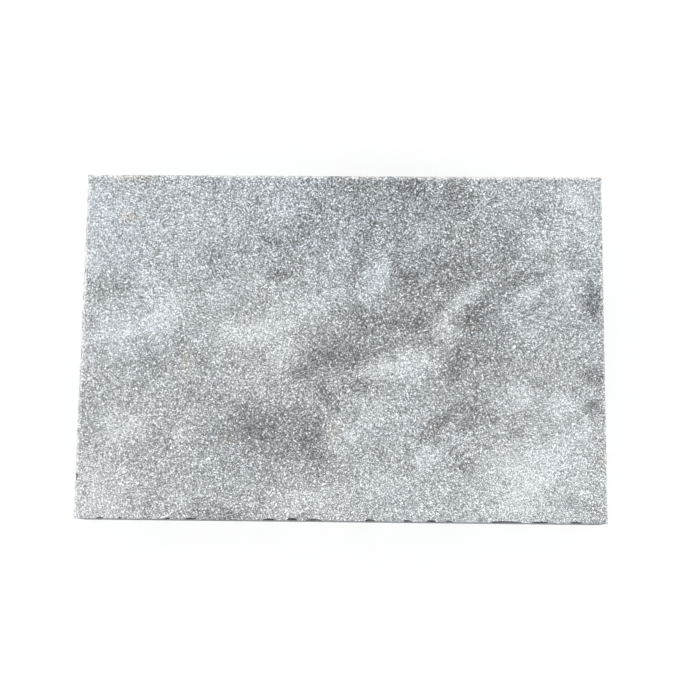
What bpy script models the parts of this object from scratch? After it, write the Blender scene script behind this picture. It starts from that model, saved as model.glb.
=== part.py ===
"""Stone slab for tooling and stamping leather.

The slab is one block of fine crystalline stone, sawn to a rectangle and honed flat on top. Nothing
is fixed to it and nothing moves. It lies on a bench with the leather on top: +X runs along its
length, +Y away from the person who works at it, and +Z up, out of the work face. The origin is the
centre of the base.
"""

import bmesh
import bpy
from mathutils import Matrix, Vector

# Driving dimensions, in metres
LENGTH = 0.300  # along X, between the sawn ends
WIDTH = 0.200  # along Y, between the sawn long sides
THICKNESS = 0.030  # along Z, from the base to the work face
CORNER_EASE = 0.0007  # upright corners, left nearly square
WORK_EASE = 0.0008  # arris round the work face, rubbed down by hand
BASE_EASE = 0.0012  # arris round the base, rubbed down so that it doesn't mark the bench

# The stone has spalled along the arris of the work face. Each flake scar is one scoop, given as its
# place along the side as a share of that side's length, its length along the arris, how far it bites
# in across the work face, and how far it runs down the side.
# The front and back are counted from the left, and the left and right from the front.
FLAKES = {
    "front": (
        (0.049, 0.0042, 0.0010, 0.0016),
        (0.087, 0.0030, 0.0009, 0.0014),
        (0.176, 0.0040, 0.0010, 0.0018),
        (0.220, 0.0068, 0.0011, 0.0024),
        (0.368, 0.0074, 0.0011, 0.0020),
        (0.411, 0.0060, 0.0016, 0.0030),
        (0.452, 0.0096, 0.0011, 0.0022),
        (0.557, 0.0058, 0.0013, 0.0026),
        (0.627, 0.0046, 0.0011, 0.0018),
        (0.672, 0.0054, 0.0011, 0.0022),
        (0.705, 0.0044, 0.0009, 0.0016),
        (0.812, 0.0180, 0.0010, 0.0026),
        (0.874, 0.0110, 0.0009, 0.0018),
        (0.942, 0.0076, 0.0010, 0.0020),
    ),
    "left": (
        (0.113, 0.0054, 0.0017, 0.0030),
        (0.241, 0.0038, 0.0010, 0.0016),
        (0.305, 0.0034, 0.0009, 0.0014),
        (0.416, 0.0028, 0.0009, 0.0014),
        (0.468, 0.0062, 0.0011, 0.0022),
        (0.555, 0.0058, 0.0010, 0.0018),
        (0.715, 0.0056, 0.0012, 0.0024),
    ),
    "back": (
        (0.483, 0.0044, 0.0010, 0.0016),
        (0.985, 0.0036, 0.0011, 0.0018),
    ),
    "right": ((0.210, 0.0094, 0.0009, 0.0018),),
}
FLAKE_SEGMENTS = 20  # round a scoop, seen from above
FLAKE_RINGS = 10  # from the top of a scoop to its bottom


def collection(name):
    """Make a collection in the scene for the objects of one kind."""
    made = bpy.data.collections.new(name)
    bpy.context.scene.collection.children.link(made)
    return made


def honed_stone():
    """Pale blue-grey crystalline stone, with the dull sheen of a honed surface."""
    material = bpy.data.materials.new("honed_stone")
    material.use_nodes = True
    shader = material.node_tree.nodes["Principled BSDF"]
    shader.inputs["Base Color"].default_value = (0.48, 0.50, 0.52, 1.0)
    shader.inputs["Roughness"].default_value = 0.6
    shader.inputs["Metallic"].default_value = 0.0
    return material


def arris_ease(edge):
    """How far this edge of the block is rubbed down."""
    low, high = sorted(corner.co.z for corner in edge.verts)
    if high - low > THICKNESS / 2:
        return CORNER_EASE
    return WORK_EASE if low > THICKNESS / 2 else BASE_EASE


def sawn_block(name, group):
    """The block as it leaves the saw and the hone: six flat faces and eased arrises."""
    bm = bmesh.new()
    size = Matrix.Diagonal((LENGTH, WIDTH, THICKNESS, 1.0))
    middle = Matrix.Translation((0.0, 0.0, THICKNESS / 2))
    bmesh.ops.create_cube(bm, size=1.0, matrix=middle @ size)
    widest = max(CORNER_EASE, WORK_EASE, BASE_EASE)
    weight = bm.edges.layers.float.new("bevel_weight_edge")
    for edge in bm.edges:
        edge[weight] = arris_ease(edge) / widest

    mesh = bpy.data.meshes.new(name)
    bm.to_mesh(mesh)
    bm.free()
    slab = bpy.data.objects.new(name, mesh)
    slab.data.materials.append(honed_stone())
    group.objects.link(slab)
    arrises = slab.modifiers.new("arrises", "BEVEL")
    arrises.limit_method = "WEIGHT"
    arrises.width = widest
    arrises.segments = 1
    return slab


def side_frames():
    """For each side, where its arris starts, and the directions along it and out of the block."""
    left, right = -LENGTH / 2, LENGTH / 2
    front, back = -WIDTH / 2, WIDTH / 2
    x, y = Vector((1, 0, 0)), Vector((0, 1, 0))
    return {
        "front": (Vector((left, front, THICKNESS)), x, -y, LENGTH),
        "back": (Vector((left, back, THICKNESS)), x, y, LENGTH),
        "left": (Vector((left, front, THICKNESS)), y, -x, WIDTH),
        "right": (Vector((right, front, THICKNESS)), y, x, WIDTH),
    }


def flake_cutter(name, centre, along, out, size, group):
    """A scoop-shaped cutter, centred on the sharp arris that the block would have uneased."""
    length, bite, run_down = size
    bm = bmesh.new()
    bmesh.ops.create_uvsphere(bm, u_segments=FLAKE_SEGMENTS, v_segments=FLAKE_RINGS, radius=1.0)
    turn = Matrix((along, out, along.cross(out))).transposed()
    scoop = Matrix.Diagonal((length / 2, bite, run_down)).to_3x3()
    bmesh.ops.transform(bm, matrix=(turn @ scoop).to_4x4(), verts=bm.verts)
    bmesh.ops.translate(bm, vec=centre, verts=bm.verts)
    bmesh.ops.recalc_face_normals(bm, faces=bm.faces)

    mesh = bpy.data.meshes.new(name)
    bm.to_mesh(mesh)
    bm.free()
    cutter = bpy.data.objects.new(name, mesh)
    cutter.hide_render = True
    cutter.display_type = "WIRE"
    group.objects.link(cutter)


def spall(slab, cutters):
    """Take every flake off the slab's upper arris with one Boolean."""
    for side, (start, along, out, side_length) in side_frames().items():
        for number, (share, *size) in enumerate(FLAKES[side], start=1):
            centre = start + along * (share * side_length)
            flake_cutter(f"flake_{side}_{number}", centre, along, out, size, cutters)
    cut = slab.modifiers.new("flakes", "BOOLEAN")
    cut.operation = "DIFFERENCE"
    cut.operand_type = "COLLECTION"
    cut.collection = cutters
    cut.solver = "EXACT"


for old in list(bpy.data.objects):
    bpy.data.objects.remove(old, do_unlink=True)

stone_slab = sawn_block("stone_slab", collection("granite_slab"))
spall(stone_slab, collection("granite_slab_cutters"))
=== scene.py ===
"""A leatherworker's stone slab: the block itself, then the bench and the light it is seen in."""
import math
import random

import bmesh
import bpy
from mathutils import Matrix, Vector, noise
from mathutils.geometry import delaunay_2d_cdt


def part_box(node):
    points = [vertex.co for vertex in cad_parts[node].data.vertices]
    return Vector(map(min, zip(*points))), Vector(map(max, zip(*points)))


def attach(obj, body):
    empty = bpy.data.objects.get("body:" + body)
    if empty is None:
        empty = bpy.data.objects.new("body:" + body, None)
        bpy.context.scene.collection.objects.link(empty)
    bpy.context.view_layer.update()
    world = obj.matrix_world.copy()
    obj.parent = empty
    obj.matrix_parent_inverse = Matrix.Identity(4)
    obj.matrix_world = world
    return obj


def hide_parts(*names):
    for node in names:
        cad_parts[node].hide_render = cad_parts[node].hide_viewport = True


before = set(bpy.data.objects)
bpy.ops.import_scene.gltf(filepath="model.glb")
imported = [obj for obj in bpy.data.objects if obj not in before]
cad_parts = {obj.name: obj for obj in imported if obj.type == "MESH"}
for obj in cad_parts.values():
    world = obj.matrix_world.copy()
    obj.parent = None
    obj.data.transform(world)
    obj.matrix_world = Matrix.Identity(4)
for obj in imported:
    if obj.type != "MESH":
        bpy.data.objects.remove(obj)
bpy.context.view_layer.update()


# ---------------------------------------------------------------------------------------------
# The block. It is one piece of fine crystalline stone, sawn square and honed flat on top. The
# arris was rubbed down by hand, and use has spalled small flakes off it, most of them along the
# side nearest the worker. Nothing holds it: it lies on the bench by its own weight.
# ---------------------------------------------------------------------------------------------

MM = 0.001
low, high = (Vector(corner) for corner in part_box("stone_slab"))
LENGTH, WIDTH, THICKNESS = high - low

# The upright corners, nearly square, and the rubbed arrises round the work face and the base.
CORNER_RADIUS = 0.7 * MM
WORK_EASE = 0.8 * MM
BASE_EASE = 1.2 * MM

# Going round the block: where each side starts, the way along it, the way into the stone, and
# how long it is.
ALONG_X, ALONG_Y = Vector((1, 0, 0)), Vector((0, 1, 0))
SIDES = {
    "front": (Vector((low.x, low.y, 0)), ALONG_X, ALONG_Y, LENGTH),
    "right": (Vector((high.x, low.y, 0)), ALONG_Y, -ALONG_X, WIDTH),
    "back": (Vector((high.x, high.y, 0)), -ALONG_X, -ALONG_Y, LENGTH),
    "left": (Vector((low.x, high.y, 0)), -ALONG_Y, ALONG_X, WIDTH),
}

# The flakes lost from the upper arris, in millimetres: share along the side, length, bite across
# the work face and run down the side. Front and back count from the left, the ends from the front.
FLAKES = {
    "front": (
        (0.049, 4.2, 1.0, 1.6),
        (0.087, 3.0, 0.9, 1.4),
        (0.176, 4.0, 1.0, 1.8),
        (0.220, 6.8, 1.1, 2.4),
        (0.368, 7.4, 1.1, 2.0),
        (0.411, 6.0, 1.6, 3.0),
        (0.452, 9.6, 1.1, 2.2),
        (0.557, 5.8, 1.3, 2.6),
        (0.627, 4.6, 1.1, 1.8),
        (0.672, 5.4, 1.1, 2.2),
        (0.705, 4.4, 0.9, 1.6),
        (0.812, 18.0, 1.0, 2.6),
        (0.874, 11.0, 0.9, 1.8),
        (0.942, 7.6, 1.0, 2.0),
    ),
    "left": (
        (0.113, 5.4, 1.7, 3.0),
        (0.241, 3.8, 1.0, 1.6),
        (0.305, 3.4, 0.9, 1.4),
        (0.416, 2.8, 0.9, 1.4),
        (0.468, 6.2, 1.1, 2.2),
        (0.555, 5.8, 1.0, 1.8),
        (0.715, 5.6, 1.2, 2.4),
    ),
    "back": ((0.483, 4.4, 1.0, 1.6), (0.985, 3.6, 1.1, 1.8)),
    "right": ((0.210, 9.4, 0.9, 1.8),),
}
# How much painted shade the flake scars of each side get, from 0 to 1.
FLAKE_SHADE = {"front": 1.0, "right": 0.7, "back": 0.7, "left": 0.9}
# Small fresh chips among the flakes: how many on each side. They get little painted shade.
CHIPS = {"front": 22, "right": 7, "back": 10, "left": 12}
CHIP_LENGTH = 2.8 * MM
CHIP_BITE = 0.62 * MM
CHIP_SHADE = 0.15
# Bruises on the arris of the base, from being set down and slid off the bench.
KNOCKS = {"front": 12, "right": 8, "back": 10, "left": 8}
KNOCK_LENGTH = 6 * MM
KNOCK_BITE = 1.6 * MM
# Chips and crumbling stop this far from the upright corners.
CORNER_MARGIN = 3 * MM
draw = random.Random(7)


def flakes(side):
    """The listed flakes of one side, as (centre, half length, bite, run, painted shade)."""
    side_length = SIDES[side][3]
    for share, length, bite, run in FLAKES[side]:
        turned = 1 - share if side in ("back", "left") else share
        yield turned * side_length, length / 2 * MM, bite * MM, run * MM, FLAKE_SHADE[side]


def knocks(side, count, longest, deepest):
    """Small chips at random places along one side, in the same form.

    They are a quarter of the longest at least, and bite half as deep as the deepest at least."""
    for _ in range(count):
        half = draw.uniform(0.25, 1.0) * longest / 2
        bite = draw.uniform(0.5, 1.0) * deepest
        at = draw.uniform(half + CORNER_MARGIN, SIDES[side][3] - half - CORNER_MARGIN)
        yield at, half, bite, bite * draw.uniform(1.0, 1.8), CHIP_SHADE


# A scar's painted shade grows over this much of its depth, so that its rim stays pale.
SCAR_FADE = 0.2 * MM


def cut_reach(ease, cuts, at, angle):
    """How far stone is missing from the sharp edge, at this angle below the face, and how much
    painted shade its scar gets.

    The missing part is the eased corner together with every scoop that passes this place."""
    along_face, down = math.cos(angle), math.sin(angle)
    reach, scar_shade = ease / (along_face + down), 0.0
    for centre, half, bite, run, painted_shade in cuts:
        off = (at - centre) / half
        if abs(off) < 1:
            depth = math.sqrt(1 - off * off) / math.hypot(along_face / bite, down / run)
            if depth > reach:
                scar_shade = max(scar_shade, painted_shade * min(1.0, (depth - reach) / SCAR_FADE))
                reach = depth
    return reach, scar_shade


# The columns of points that make the sides: how far apart, and where they turn a corner.
COLUMN_STEP = 0.5 * MM
CORNER_TURNS = [math.radians(degrees) for degrees in (45, 30, 15)]


def stations(side_length):
    """Places along a side as (distance along it, set-back), with the rounded corner at each end."""
    straight = side_length - 2 * CORNER_RADIUS
    count = round(straight / COLUMN_STEP)
    corner = [(CORNER_RADIUS * (1 - math.sin(turn)), CORNER_RADIUS * (1 - math.cos(turn)))
              for turn in CORNER_TURNS]
    yield from corner
    for number in range(count + 1):
        yield CORNER_RADIUS + straight * number / count, 0.0
    for along, back in reversed(corner[1:]):
        yield side_length - along, back


def ragged(point, size, amount):
    """Roughness of broken or sawn stone: 0 to amount, with features of this size."""
    return amount * (0.5 + 0.5 * noise.noise(point / size))


# The blade left shallow, slightly curved grooves that lean across each sawn side, and that wander
# by this many radians over this distance.
SAW_PITCH = 2.3 * MM
SAW_LEAN = 0.25
SAW_CURVE = 2.9
SAW_DEPTH = 0.09 * MM
SAW_WANDER = 4
SAW_WANDER_SIZE = 30 * MM


def sawn_groove(point):
    """Depth of the saw's groove at this place on a side."""
    along = point.x + point.y + point.z * SAW_LEAN + point.z**2 * SAW_CURVE
    wander = noise.noise(point / SAW_WANDER_SIZE) * SAW_WANDER
    return SAW_DEPTH * (0.5 + 0.5 * math.sin(along * math.tau / SAW_PITCH + wander))


# The blade also drifted in and out: how far, over what distance, and how much faster downwards.
SAW_DRIFT = 0.12 * MM
SAW_DRIFT_SIZE = 17 * MM
SAW_DRIFT_DOWN = 6

# The points of a column: the angles round each arris, the distances in over the work face, and
# the shares of the way down the side. The wear fades out at the innermost point, and the saw's
# marks reach their full depth a few points down the side.
WORK_ANGLES = [math.pi / 2 * step / 8 for step in range(9)]
BASE_ANGLES = [math.pi / 2 * step / 4 for step in range(5)]
FACE_ROWS = [3.6 * MM, 1.9 * MM, 0.9 * MM, 0.35 * MM]
SIDE_ROWS = [0.015, 0.04, 0.075, 0.12, 0.18] + [0.25 + 0.125 * step for step in range(6)] + [0.95]
WEAR_REACH = FACE_ROWS[0]
SAWN_SHARE = SIDE_ROWS[3]
BASE_ROW = 0.9 * MM

# How far the rubbed arris has crumbled back, at most, on each side, in bites of this size.
CRUMBLE = {"front": 0.25 * MM, "right": 0.40 * MM, "back": 0.35 * MM, "left": 0.50 * MM}
CRUMBLE_SIZE = 1.3 * MM
# The eases were rubbed by hand, so they vary: each one's least share of its full size, and what
# each kind of unevenness adds, as (size of its features, share).
WORK_EASE_LEAST = 0.55
WORK_EASE_UNEVEN = ((3.1 * MM, 0.5), (1.1 * MM, 0.35))
BASE_EASE_LEAST = 0.70
BASE_EASE_UNEVEN = ((4.3 * MM, 0.5),)
# Broken stone on the arris: how rough it is, how much rougher in a scar, and its grain.
ARRIS_ROUGH = 0.10 * MM
SCAR_ROUGH = 0.14 * MM
BROKEN_GRAIN = 0.9 * MM


def rubbed_ease(here, ease, least, unevenness):
    """The width of an eased arris at this place."""
    return ease * sum((ragged(here, size, share) for size, share in unevenness), least)


def column(side, along, back, work_cuts, base_cuts):
    """One cut down through the block's edge: (position, wear, scar's painted shade) from the top to
    the base.
    """
    start, forward, inward, side_length = SIDES[side]

    def place(inset, height):
        slid = along + inset * (1 - 2 * along / side_length)
        return start + forward * slid + inward * (back + inset) + Vector((0, 0, height))

    here = place(0, THICKNESS)
    uneven = min(1.0, min(along, side_length - along) / CORNER_MARGIN)
    crumbled = inward * uneven * ragged(here, CRUMBLE_SIZE, CRUMBLE[side])
    work_ease = rubbed_ease(here, WORK_EASE, WORK_EASE_LEAST, WORK_EASE_UNEVEN)
    base_ease = rubbed_ease(here, BASE_EASE, BASE_EASE_LEAST, BASE_EASE_UNEVEN)

    work = [cut_reach(work_ease, work_cuts, along, angle) for angle in WORK_ANGLES]
    base = [cut_reach(base_ease, base_cuts, along, angle) for angle in BASE_ANGLES]
    top_of_side = THICKNESS - work[-1][0]
    foot_of_side = base[-1][0]

    rows = [(place(work[0][0] + inset, THICKNESS), 1 - inset / WEAR_REACH, 0.0)
            for inset in FACE_ROWS]
    for angle, (reach, scarred) in zip(WORK_ANGLES, work):
        inset, drop = reach * math.cos(angle), reach * math.sin(angle)
        point = place(inset, THICKNESS - drop)
        roughness = (ARRIS_ROUGH + SCAR_ROUGH * scarred) * math.sin(2 * angle) * uneven
        broken = (inward - Vector((0, 0, 1))).normalized() * ragged(point, BROKEN_GRAIN, roughness)
        point += broken + crumbled * math.sin(angle)
        rows.append((point, 1.0, scarred))
    for share in SIDE_ROWS:
        height = top_of_side + (foot_of_side - top_of_side) * share
        point = place(0, height)
        drift = Vector((point.x, point.y, height * SAW_DRIFT_DOWN))
        sawn = ragged(drift, SAW_DRIFT_SIZE, SAW_DRIFT) + sawn_groove(point)
        settled = min(1.0, share / SAWN_SHARE)
        wear_and_highlight = 1 - min(1.0, (top_of_side - height) / WEAR_REACH)
        sunk = inward * sawn * settled * uneven
        rows.append((point + sunk + crumbled * (1 - settled), wear_and_highlight, 0.0))
    for angle, (reach, scarred) in reversed(list(zip(BASE_ANGLES, base))):
        inset, rise = reach * math.cos(angle), reach * math.sin(angle)
        rows.append((place(inset, rise), 0.0, scarred))
    rows.append((place(base[0][0] + BASE_ROW, 0), 0.0, 0.0))
    return rows


# The triangles of a flat face: how wide at its rim, how much each ring grows, and the widest.
RIM_GAP = 1.0 * MM
GAP_GROWTH = 1.5
WIDEST_GAP = 6 * MM
# What the triangulation is asked for: only what lies inside the rim, with points this close merged.
INSIDE_RIM = 1
SAME_PLACE = 1e-9


def cap(bm, ring, upward):
    """Close the block with a flat face whose triangles grow towards its middle."""
    flat = [corner.co.xy for corner in ring]
    outline = len(flat)
    left, right = min(p.x for p in flat), max(p.x for p in flat)
    front, back = min(p.y for p in flat), max(p.y for p in flat)
    gap = inset = RIM_GAP
    while inset < (back - front) / 2:
        x0, x1, y0, y1 = left + inset, right - inset, front + inset, back - inset
        across, deep = max(1, round((x1 - x0) / gap)), max(1, round((y1 - y0) / gap))
        flat += [Vector((x0 + (x1 - x0) * i / across, y)) for i in range(across) for y in (y0, y1)]
        flat += [Vector((x, y0 + (y1 - y0) * i / deep)) for i in range(1, deep) for x in (x0, x1)]
        flat += [Vector((x1, y0)), Vector((x1, y1))]
        gap = min(gap * GAP_GROWTH, WIDEST_GAP)
        inset += gap
    rim = [(i, (i + 1) % outline) for i in range(outline)]
    points, _, triangles, *_ = delaunay_2d_cdt(flat, rim, [], INSIDE_RIM, SAME_PLACE)
    height = ring[0].co.z
    corners = list(ring) + [bm.verts.new((p.x, p.y, height)) for p in points[outline:]]
    for triangle in triangles:
        order = triangle if upward else reversed(triangle)
        bm.faces.new([corners[i] for i in order])


# The block's skin laid out flat on a unit square, to draw its markings on: the work face, the sides
# in four strips above it, and the base, smaller, beside the two short strips.
SHEET_SCALE = 2.93
SHEET_BASE_SCALE = 0.87
SHEET_GAP = 0.009
STRIPS = ("front", "back", "right", "left")


def unfold(bm):
    """Give every face its place on that square, by the side of the block that it mostly faces."""
    sheet = bm.loops.layers.uv.new("OFBake")
    gap = Vector((SHEET_GAP, SHEET_GAP))
    strip = THICKNESS * SHEET_SCALE + SHEET_GAP
    above_top = beside_strips = SHEET_GAP + WIDTH * SHEET_SCALE
    bm.normal_update()
    for face in bm.faces:
        facing = face.normal
        side = min(STRIPS, key=lambda name: facing.dot(SIDES[name][2]))
        if abs(facing.z) < -facing.dot(SIDES[side][2]):
            start, across, _, _ = SIDES[side]
            corner = gap + Vector((0, above_top + strip * STRIPS.index(side)))
            up, scale = Vector((0, 0, 1)), SHEET_SCALE
        else:
            start, across, up = SIDES["front"][0], ALONG_X, ALONG_Y
            scale = SHEET_SCALE if facing.z > 0 else SHEET_BASE_SCALE
            corner = gap if facing.z > 0 else gap + Vector((beside_strips, above_top + 2 * strip))
        for loop in face.loops:
            from_start = loop.vert.co - start
            flat = Vector((from_start.dot(across), from_start.dot(up)))
            loop[sheet].uv = corner + flat * scale


# How much the rubbed arris shows as a pale line on each side, partly bruise, partly painted
# highlight.
ARRIS_BRUISE_AND_HIGHLIGHT = {"front": 0.3, "right": 0.7, "back": 0.95, "left": 1.0}
# Where the skin turns by more than this, its edge looks sharp.
SHARP_TURN = math.radians(32)


def block_mesh():
    """The block's skin: columns joined all the way round, and a cap over each end of them."""
    bm = bmesh.new()
    wear_and_highlight = bm.verts.layers.float.new("wear_and_highlight")
    scar = bm.verts.layers.float.new("scar")
    columns = []
    for side, (_, _, _, side_length) in SIDES.items():
        chips = knocks(side, CHIPS[side], CHIP_LENGTH, CHIP_BITE)
        work_cuts = [*flakes(side), *chips]
        base_cuts = list(knocks(side, KNOCKS[side], KNOCK_LENGTH, KNOCK_BITE))
        for along, back in stations(side_length):
            rows = []
            for point, how_worn, how_scarred in column(side, along, back, work_cuts, base_cuts):
                corner = bm.verts.new(point)
                # Each point keeps its wear, times its side's bruise and painted highlight, and its
                # scar's painted shade.
                corner[wear_and_highlight] = how_worn * ARRIS_BRUISE_AND_HIGHLIGHT[side]
                corner[scar] = how_scarred
                rows.append(corner)
            columns.append(rows)
    for one, following in zip(columns, columns[1:] + columns[:1]):
        for i in range(len(one) - 1):
            bm.faces.new((one[i], one[i + 1], following[i + 1], following[i]))
    cap(bm, [rows[0] for rows in columns], upward=True)
    cap(bm, [rows[-1] for rows in columns], upward=False)
    unfold(bm)
    mesh = bpy.data.meshes.new("block")
    bm.to_mesh(mesh)
    bm.free()
    mesh.shade_smooth()
    mesh.set_sharp_from_angle(angle=SHARP_TURN)
    return mesh


block = bpy.data.objects.new("block", block_mesh())
bpy.context.scene.collection.objects.link(block)


class Signal:
    """One output of a node in a material, so that shader maths reads as plain arithmetic."""

    def __init__(self, socket):
        self.socket = socket

    @classmethod
    def new_node(cls, tree, kind, settings, inputs, output=0):
        """Add a node: its settings first, then a value or a signal for each socket named."""
        made = tree.nodes.new("ShaderNode" + kind)
        for name, value in settings.items():
            setattr(made, name, value)
        for name, value in inputs.items():
            if isinstance(value, Signal):
                tree.links.new(value.socket, made.inputs[name])
            else:
                made.inputs[name].default_value = value
        return cls(made.outputs[output]) if made.outputs else None

    def node(self, kind, settings, inputs, output=0):
        """Add a node beside the one that gives this signal."""
        return Signal.new_node(self.socket.id_data, kind, settings, inputs, output)

    def math(self, operation, other=0.0):
        return self.node("Math", {"operation": operation}, {0: self, 1: other})

    def __add__(self, other):
        return self.math("ADD", other)

    __radd__ = __add__

    def __sub__(self, other):
        return self.math("SUBTRACT", other)

    def __rsub__(self, other):
        return self * -1 + other

    def __mul__(self, other):
        return self.math("MULTIPLY", other)

    __rmul__ = __mul__

    def __pow__(self, other):
        return self.math("POWER", other)

    def soft(self, start, end, low=0.0, high=1.0):
        """Rise smoothly from low to high as this signal goes from start to end."""
        ends = {"From Min": start, "From Max": end, "To Min": low, "To Max": high}
        return self.node("MapRange", {"interpolation_type": "SMOOTHSTEP"}, {"Value": self} | ends)

    def noise(self, size, detail=2.0, output=0):
        """Cloudy noise about 0.5 over this position, with its largest features of this size."""
        inputs = {"Vector": self, "Scale": 1 / size, "Detail": detail}
        return self.node("TexNoise", {}, inputs, output)

    def crystals(self, size):
        """A random value from 0 to 1 for each crystal of about this size."""
        cells = self.node("TexVoronoi", {}, {"Vector": self, "Scale": 1 / size}, "Color")
        return cells.node("SeparateColor", {}, {"Color": cells}, "Red")

    def vector(self, operation, other):
        return self.node("VectorMath", {"operation": operation}, {0: self, 1: other})

    def scaled(self, amount):
        return self.node("VectorMath", {"operation": "SCALE"}, {0: self, "Scale": amount})

    def between(self, colour, other):
        """The first colour where this signal is 0, the other where it is 1."""
        return self.node("Mix", {"data_type": "RGBA"}, {0: self, 6: colour, 7: other}, 2)


# Clouds in the stone, seen on the work face, in millimetres from its near left corner: middle,
# half length, half width, turn from the length of the slab in degrees, and how much lighter or
# darker than the rest. They run through the block as slanting sheets.
CLOUDS = (
    # broad lighter and darker grounds
    (22, 118, 62, 52, 10, 0.35),
    (0, 174, 34, 60, 0, 0.65),
    (6, 12, 46, 34, 0, 0.75),
    (266, 22, 62, 46, 35, 0.65),
    (290, 180, 30, 44, 0, 0.50),
    (180, 8, 90, 22, 0, 0.25),
    (45, 176, 60, 34, 0, 0.30),
    (212, 126, 62, 70, 15, -0.62),
    (110, 46, 58, 34, 0, -0.60),
    (152, 98, 46, 34, 30, -0.55),
    (180, 182, 76, 34, 0, -0.60),
    (120, 156, 42, 24, 0, -0.35),
    # pale veins and patches, left to right
    (20, 107, 34, 9, 12, 0.6),
    (48, 118, 20, 15, 55, 0.8),
    (40, 137, 22, 5, -50, 0.3),
    (96, 107, 32, 12, 5, 1.0),
    (116, 96, 12, 15, 0, 0.6),
    (127, 120, 28, 13, 15, 0.7),
    (171, 140, 23, 8, 65, 0.8),
    (194, 160, 17, 6, 22, 0.5),
    (190, 90, 23, 13, 20, 1.0),
    (171, 86, 12, 9, 10, 0.8),
    (221, 128, 24, 7, 42, 1.1),
    (208, 110, 11, 12, 0, 1.0),
    (256, 130, 12, 8, 0, 0.9),
    (251, 112, 16, 7, -40, 0.5),
    (278, 138, 11, 17, 0, 0.6),
    (262, 163, 11, 16, 0, 0.35),
    (284, 188, 13, 8, -50, 0.7),
    (293, 172, 9, 14, 0, 0.3),
    (275, 66, 14, 9, 10, 0.9),
    (251, 72, 16, 12, 0, 0.7),
    (258, 24, 38, 12, 55, 0.5),
    (246, 32, 18, 14, 0, 0.4),
    (284, 49, 22, 7, 35, 0.4),
    (198, 35, 10, 11, 0, 0.8),
    (168, 60, 18, 8, 40, 0.5),
    (154, 46, 15, 13, 0, 0.5),
    (126, 11, 26, 10, 20, 0.5),
    (172, 22, 24, 9, 0, 0.4),
    (62, 14, 10, 10, 0, 0.5),
    (60, 47, 9, 7, 0, 0.5),
    (25, 50, 20, 14, 0, 0.8),
    (4, 95, 5, 12, 0, 0.4),
    (115, 181, 14, 9, 20, 0.5),
    (196, 169, 13, 8, 0, 0.6),
    (82, 128, 14, 12, 0, 0.3),
    # dark pools, left to right
    (15, 133, 19, 16, 0, -0.7),
    (40, 88, 20, 12, 0, -0.5),
    (60, 100, 10, 12, 0, -0.4),
    (72, 68, 26, 6, -10, -0.4),
    (50, 42, 11, 13, 0, -0.2),
    (75, 152, 7, 18, -10, -0.4),
    (86, 145, 7, 6, 0, -0.4),
    (114, 141, 12, 6, 0, -0.8),
    (112, 161, 17, 6, -12, -0.7),
    (127, 165, 9, 8, 0, -0.5),
    (97, 176, 6, 11, 0, -0.3),
    (134, 180, 7, 12, 0, -0.5),
    (162, 193, 16, 8, 0, -0.5),
    (190, 192, 18, 8, 0, -0.7),
    (217, 186, 12, 15, 0, -0.5),
    (160, 152, 28, 7, 72, -0.7),
    (212, 147, 28, 16, 0, -0.35),
    (189, 137, 16, 10, -45, -0.5),
    (181, 149, 7, 6, 0, -0.4),
    (243, 160, 12, 20, 10, -0.6),
    (252, 139, 17, 6, 12, -0.7),
    (227, 117, 17, 9, 60, -0.6),
    (216, 88, 20, 9, 70, -0.8),
    (232, 88, 15, 19, 0, -0.3),
    (224, 62, 20, 18, 0, -0.7),
    (184, 113, 28, 9, 0, -0.5),
    (160, 117, 16, 8, 0, -0.5),
    (141, 94, 22, 11, 20, -0.6),
    (125, 84, 11, 8, 0, -0.6),
    (158, 92, 12, 9, 10, -0.5),
    (143, 70, 18, 8, -50, -0.8),
    (166, 75, 20, 7, 0, -0.4),
    (104, 55, 28, 15, 0, -0.5),
    (131, 48, 14, 24, 0, -0.5),
    (138, 34, 9, 12, 0, -0.3),
    (206, 57, 13, 8, 45, -0.9),
    (196, 48, 9, 6, 0, -0.6),
    (250, 51, 8, 7, 0, -0.8),
    (293, 65, 7, 8, 0, -1.0),
    (292, 84, 11, 8, 0, -1.2),
    (293, 125, 8, 16, 0, -1.3),
    (285, 152, 12, 13, 0, -0.5),
    (265, 177, 9, 7, 0, -0.6),
    (220, 33, 13, 9, -35, -0.7),
    (172, 38, 9, 8, 0, -0.5),
    (84, 3, 24, 7, 0, -0.7),
    (282, 10, 14, 7, 0, -0.6),
)
# How much of a cloud's half size its soft edge takes up.
CLOUD_EDGE = 0.8
# The slant of those sheets: how far they shift along and across the slab for each unit of depth.
CLOUD_SLANT = (0.45, -0.6)
# How far the clouds' outlines stray, and over what distance.
STRAY = 9 * MM
STRAY_SIZE = 17 * MM

# Faint rust-coloured stains, given as the clouds are, and how much of one its soft edge takes up.
STAINS = (
    (26, 175, 9, 6, 0, 0.8),
    (27, 198, 20, 6, 0, 0.7),
    (61, 90, 5, 9, 0, 0.7),
    (85, 46, 6, 5, 0, 0.6),
    (147, 51, 9, 8, 0, 0.5),
    (203, 55, 6, 5, 0, 0.6),
    (224, 112, 8, 6, 0, 0.7),
    (298, 35, 5, 12, 0, 0.6),
)
STAIN_EDGE = 1.0


def strokes(plan, listed, soft_edge):
    """All the listed strokes added up, at this place on the slab."""
    total = 0.0
    for middle_x, middle_y, half_length, half_width, turn, strength in listed:
        stroke = plan.node("Mapping", {"vector_type": "TEXTURE"}, {
            "Vector": plan,
            "Location": (middle_x * MM, middle_y * MM, 0),
            "Rotation": (0, 0, math.radians(turn)),
            "Scale": (half_length * MM, half_width * MM, 1),
        })
        spot = stroke.node("TexGradient", {"gradient_type": "SPHERICAL"}, {"Vector": stroke}, "Fac")
        total = spot.soft(0, soft_edge, 0, strength) + total
    return total


# The blade's finer marks: their pitch, and how much they lean on the base.
SAW_SCRATCH = 1.3 * MM
BASE_SAW_LEAN = 0.04


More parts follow.
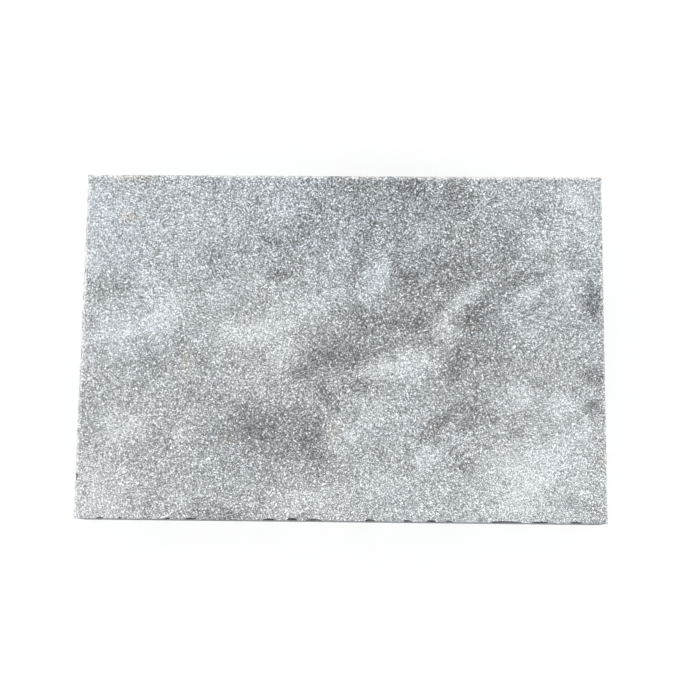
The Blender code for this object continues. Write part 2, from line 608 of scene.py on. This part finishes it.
def saw_lines(place, x, y, z, on_side):
    """Those finer marks, from -1 to 1: curved on the sawn sides, and straight on the base."""
    leaning = x + y + z * SAW_LEAN + z * z * SAW_CURVE
    along = leaning * on_side + (y + x * BASE_SAW_LEAN) * (1 - on_side)
    wander = place.noise(SAW_WANDER_SIZE) * SAW_WANDER
    return (along * (math.tau / SAW_SCRATCH) + wander).math("SINE")


# The tone of the honed face, from 0 for black to 1 for white, and how far each thing shifts it.
MIDDLE_TONE = 0.600
CLOUD_TONE = 0.167
MOTTLE_TONE = 0.23
FINE_TONE = 0.76
COARSE_TONE = 0.05
SPARKLE_TONE = 0.70
# The pale arris's share is bruised stone and painted highlight.
BRUISE_AND_HIGHLIGHT_TONE = 0.34
# The limits of the tone, and the power that turns it into the share of light sent back.
DARKEST, PALEST = 0.05, 0.985
TONE_POWER = 2.2
# How much darker the sawn sides are, partly painted shade, and each line that the saw left on them.
SAWN_SHADE = 0.12
SAW_LINE_SHADE = 0.08

# The sizes of crystals and pits, and of the patches in which the stone, its bruises and painted
# highlight, and its painted shade vary.
CRYSTAL = 0.35 * MM
COARSE_CRYSTAL = 2.7 * CRYSTAL
BRIGHT_CRYSTAL = 1.9 * CRYSTAL
MOTTLE = 7 * MM
PATCH = 3.5 * MM
SIDE_SHADE_PATCH = 13 * MM
TINT_PATCH = 45 * MM
PIT = 1.3 * MM

# The tints that colour the tone, and the colour of the painted shade.
EVEN_GREY = (0.963, 1.0, 1.026, 1)
COOL_GREY = (0.930, 1.0, 1.058, 1)
RUSTY_GREY = (1.03, 0.985, 0.90, 1)
# The tint of the pale arris, bruised stone and painted highlight.
BRUISE_AND_HIGHLIGHT_GREY = (1.0, 1.0, 0.985, 1)
PAINTED_SHADE_COLOUR = (0.036, 0.034, 0.031, 1)

# The depths over which the honed face gives way to the sawn side, and the base to the side.
FACE_TO_SIDE = (0.5 * MM, 1.8 * MM)
BASE_TO_SIDE = (THICKNESS - 0.2 * MM, THICKNESS - 0.7 * MM)

# The grain: the mean that leaves its overall tone alone, the crystals bright enough to sparkle,
# its strength near the worker and at the far side, how much a pale cloud adds to it, and how much
# of it is lost on the sawn sides.
FINE_MEAN = 0.33
SPARKLE_FROM = 0.84
NEAR_GRAIN, FAR_GRAIN = 0.96, 1.16
CLOUD_GRAIN = 0.10
SAWN_GRAIN_LOSS = 0.35

# The bruises and painted highlight: how worn a place is where they start and where they are full,
# where their patches start and are full, and how much still shows between the patches.
BRUISE_AND_HIGHLIGHT_WEAR = (0.50, 0.95)
PATCH_EDGE = (0.35, 0.60)
BRUISE_AND_HIGHLIGHT_BETWEEN = 0.2

# The cool tint: the edge and strength of its wide patches, and its growth across the slab.
TINT_EDGE = (0.35, 0.65)
PATCH_COOL = 0.5
COOL_ACROSS = (-30 * MM, 80 * MM)
FAR_COOL = 0.6

# Painted shade in the scars: the depth by which it is full, and how much is left between patches.
SCAR_SHADE_DEPTH = 0.4 * MM
SCAR_SHADE_BETWEEN = 0.80
# Painted shade on the sides: how much in general, and how much on the near side, which starts this
# far from its face; the edge of its patches, and what is left between them; and the depths where
# it is thinnest and where it is still full, with how much is left at the thinnest.
SIDE_PAINTED_SHADE, NEAR_PAINTED_SHADE = 0.20, 0.72
NEAR_SIDE = 3 * MM
SIDE_SHADE_EDGE = (0.42, 0.60)
SIDE_SHADE_BETWEEN = 0.4
SIDE_SHADE_DEPTHS = (12 * MM, 2 * MM)
FOOT_SIDE_SHADE = 0.55

# The relief: how much of it the crystals and the saw's lines make, and its depth and strength.
CRYSTAL_RELIEF = 0.6
SAW_RELIEF = 2
RELIEF_DEPTH = 0.12 * MM
RELIEF_STRENGTH = 0.35
# The finish: a dull honed face, which varies from crystal to crystal, and duller sawn sides.
HONED_ROUGHNESS = 0.60
CRYSTAL_ROUGHNESS = 0.2
SAWN_ROUGHNESS = 0.15
REFRACTION = 1.5


def cloudy_stone():
    """Fine sugary stone: random grey crystals, lighter and darker in soft slanting clouds."""
    material = bpy.data.materials.new("cloudy_stone")
    material.use_nodes = True
    tree = material.node_tree
    tree.nodes.clear()
    place = Signal.new_node(tree, "TexCoord", {}, {}, "Object")
    x, y, z = (place.node("SeparateXYZ", {}, {"Vector": place}, name) for name in "XYZ")
    # what the skin keeps: wear with bruise and painted highlight, and the painted shade of the
    # scars
    wear_and_highlight = place.node("Attribute", {"attribute_name": "wear_and_highlight"}, {}, "Fac")
    scar = place.node("Attribute", {"attribute_name": "scar"}, {}, "Fac")
    patchy = place.noise(PATCH, detail=3.0)
    depth = THICKNESS - z
    sawn = depth.soft(*FACE_TO_SIDE)
    on_side = depth.soft(*BASE_TO_SIDE)

    # the clouds, on the plan of the work face or of the slanting sheet that passes this place
    along = x + depth * CLOUD_SLANT[0] - low.x
    across = y + depth * CLOUD_SLANT[1] - low.y
    plan = place.node("CombineXYZ", {}, {"X": along, "Y": across})
    stray = place.noise(STRAY_SIZE, detail=4.0, output="Color").vector("SUBTRACT", (0.5, 0.5, 0.5))
    plan = plan.vector("ADD", stray.vector("MULTIPLY", (STRAY, STRAY, 0)))
    clouds = strokes(plan, CLOUDS, CLOUD_EDGE)

    # the crystals, a little stronger in the pale clouds and towards the far side
    fine = place.crystals(CRYSTAL) ** 2 - FINE_MEAN
    coarse = place.crystals(COARSE_CRYSTAL) - 0.5
    sparkle = place.crystals(BRIGHT_CRYSTAL).soft(SPARKLE_FROM, 1.0)
    grain = fine * FINE_TONE + coarse * COARSE_TONE + sparkle * SPARKLE_TONE
    grain = grain * (1 - sawn * SAWN_GRAIN_LOSS)
    grain = grain * y.soft(0, high.y, NEAR_GRAIN, FAR_GRAIN) * (1 + clouds * CLOUD_GRAIN)
    mottle = place.noise(MOTTLE, detail=4.0) - 0.5
    tone = MIDDLE_TONE + clouds * CLOUD_TONE + mottle * MOTTLE_TONE + grain

    # the pale arris, bruised and with painted highlight, and the duller, darker sawn sides, partly
    # painted shade
    bruise_and_highlight = wear_and_highlight.soft(*BRUISE_AND_HIGHLIGHT_WEAR) * (1 - scar) * patchy.soft(*PATCH_EDGE, BRUISE_AND_HIGHLIGHT_BETWEEN)
    marks = saw_lines(place, x, y, z, on_side)
    tone = (tone + bruise_and_highlight * BRUISE_AND_HIGHLIGHT_TONE) * (1 - sawn * (SAWN_SHADE + marks * SAW_LINE_SHADE))
    light = tone.math("MAXIMUM", DARKEST).math("MINIMUM", PALEST) ** TONE_POWER

    # the tint: cool in patches and towards the far side, rusty in the stains, plain on the bruises
    # and painted highlight
    cool = place.noise(TINT_PATCH).soft(*TINT_EDGE) * PATCH_COOL
    cool = cool + y.soft(*COOL_ACROSS) * FAR_COOL
    tint = cool.between(EVEN_GREY, COOL_GREY)
    tint = strokes(plan, STAINS, STAIN_EDGE).between(tint, RUSTY_GREY)
    tint = bruise_and_highlight.between(tint, BRUISE_AND_HIGHLIGHT_GREY)

    # painted shade, dark in the flake scars and in patches on the sides, most of all on the near
    # one
    shaded_scars = scar * depth.soft(0, SCAR_SHADE_DEPTH) * patchy.soft(*PATCH_EDGE, SCAR_SHADE_BETWEEN)
    painted_side_shade = y.soft(low.y + NEAR_SIDE, low.y, SIDE_PAINTED_SHADE, NEAR_PAINTED_SHADE)
    side_shade_patches = place.noise(SIDE_SHADE_PATCH, detail=5.0).soft(*SIDE_SHADE_EDGE, SIDE_SHADE_BETWEEN)
    side_shade_patches = side_shade_patches * depth.soft(*SIDE_SHADE_DEPTHS, FOOT_SIDE_SHADE)
    painted_shade = shaded_scars.math("MAXIMUM", side_shade_patches * sawn * on_side * painted_side_shade)
    colour = painted_shade.between(tint.scaled(light), PAINTED_SHADE_COLOUR)

    relief = fine * CRYSTAL_RELIEF + place.noise(PIT, detail=3.0) + marks * sawn * SAW_RELIEF
    bump = place.node("Bump", {}, {
        "Strength": RELIEF_STRENGTH,
        "Distance": RELIEF_DEPTH,
        "Height": relief,
    })
    surface = place.node("BsdfPrincipled", {}, {
        "Base Color": colour,
        "Roughness": HONED_ROUGHNESS + fine * CRYSTAL_ROUGHNESS + sawn * SAWN_ROUGHNESS,
        "Normal": bump,
        "IOR": REFRACTION,
    })
    place.node("OutputMaterial", {}, {"Surface": surface})
    return material


block.data.materials.append(cloudy_stone())
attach(block, "root")
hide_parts("stone_slab")


# ---------------------------------------------------------------------------------------------
# The bench top that the slab lies on: a plain board painted a pale matte white, level with the
# slab's base. It is far wider than a real one, so that its rim lies out of sight.
# ---------------------------------------------------------------------------------------------

BENCH_RADIUS = 8
BENCH_CORNERS = 96
PALE_PAINT = (0.95, 0.95, 0.95, 1)
PAINT_ROUGHNESS = 0.9

bpy.ops.mesh.primitive_circle_add(
    vertices=BENCH_CORNERS, radius=BENCH_RADIUS, fill_type="NGON", location=(0, 0, low.z)
)
bench = bpy.context.object
bench.name = "bench"
pale_matte = bpy.data.materials.new("pale_matte")
pale_matte.use_nodes = True
paint = pale_matte.node_tree.nodes["Principled BSDF"].inputs
paint["Base Color"].default_value = PALE_PAINT
paint["Roughness"].default_value = PAINT_ROUGHNESS
bench.data.materials.append(pale_matte)


# ---------------------------------------------------------------------------------------------
# The light: a pale room whose walls are brighter than its ceiling, and one soft light hung high
# overhead. It leans a little towards the worker, so that the slab's shadow falls behind it.
# ---------------------------------------------------------------------------------------------

ROOM_WHITE = (1, 1, 1, 1)
WALL_LIGHT = 1.02
CEILING_LIGHT = 0.30
# The walls' light fades into the ceiling's between these angles above the bench.
WALL_TOP = math.radians(14)
CEILING_START = math.radians(40)
OVERHEAD_STRENGTH = 2.15
OVERHEAD_SPREAD = math.radians(14)
OVERHEAD_HEIGHT = 1.5
LEAN_NEAR = math.radians(9)
LEAN_RIGHT = math.radians(2)

room = bpy.data.worlds.new("pale_room")
room.use_nodes = True
sky = room.node_tree.nodes["Background"].inputs
looking = Signal.new_node(room.node_tree, "TexCoord", {}, {}, "Generated")
height_seen = looking.node("SeparateXYZ", {}, {"Vector": looking}, "Z")
fade = (math.sin(WALL_TOP), math.sin(CEILING_START))
brightness = height_seen.soft(*fade, WALL_LIGHT, CEILING_LIGHT)
room.node_tree.links.new(brightness.socket, sky["Strength"])
sky["Color"].default_value = ROOM_WHITE
bpy.context.scene.world = room

lamp = bpy.data.lights.new("overhead_light", "SUN")
lamp.energy = OVERHEAD_STRENGTH
lamp.angle = OVERHEAD_SPREAD
overhead = bpy.data.objects.new("overhead_light", lamp)
overhead.rotation_euler = (LEAN_NEAR, LEAN_RIGHT, 0)
overhead.location = (0, 0, OVERHEAD_HEIGHT)
bpy.context.scene.collection.objects.link(overhead)


# ---------------------------------------------------------------------------------------------
# The camera: a long lens almost straight above the slab, a little towards the worker. It looks at
# the middle of the work face, near enough, and is turned by less than a degree.
# ---------------------------------------------------------------------------------------------

LENS = 67.94
SENSOR = 36.0
EYE = Vector((21.1 * MM, -119.0 * MM, THICKNESS + 745.6 * MM))
AIM = Vector((4.85 * MM, -2.99 * MM, THICKNESS))
ROLL = math.radians(0.66)

backward = (EYE - AIM).normalized()
rightward = ALONG_Y.cross(backward).normalized()
level = Matrix((rightward, backward.cross(rightward), backward)).transposed()

lens = bpy.data.cameras.new("camera")
lens.lens = LENS
lens.sensor_width = SENSOR
camera = bpy.data.objects.new("camera", lens)
camera.matrix_world = Matrix.Translation(EYE) @ level.to_4x4() @ Matrix.Rotation(ROLL, 4, "Z")
bpy.context.scene.collection.objects.link(camera)
bpy.context.scene.camera = camera
bpy.context.scene.view_settings.view_transform = "Standard"
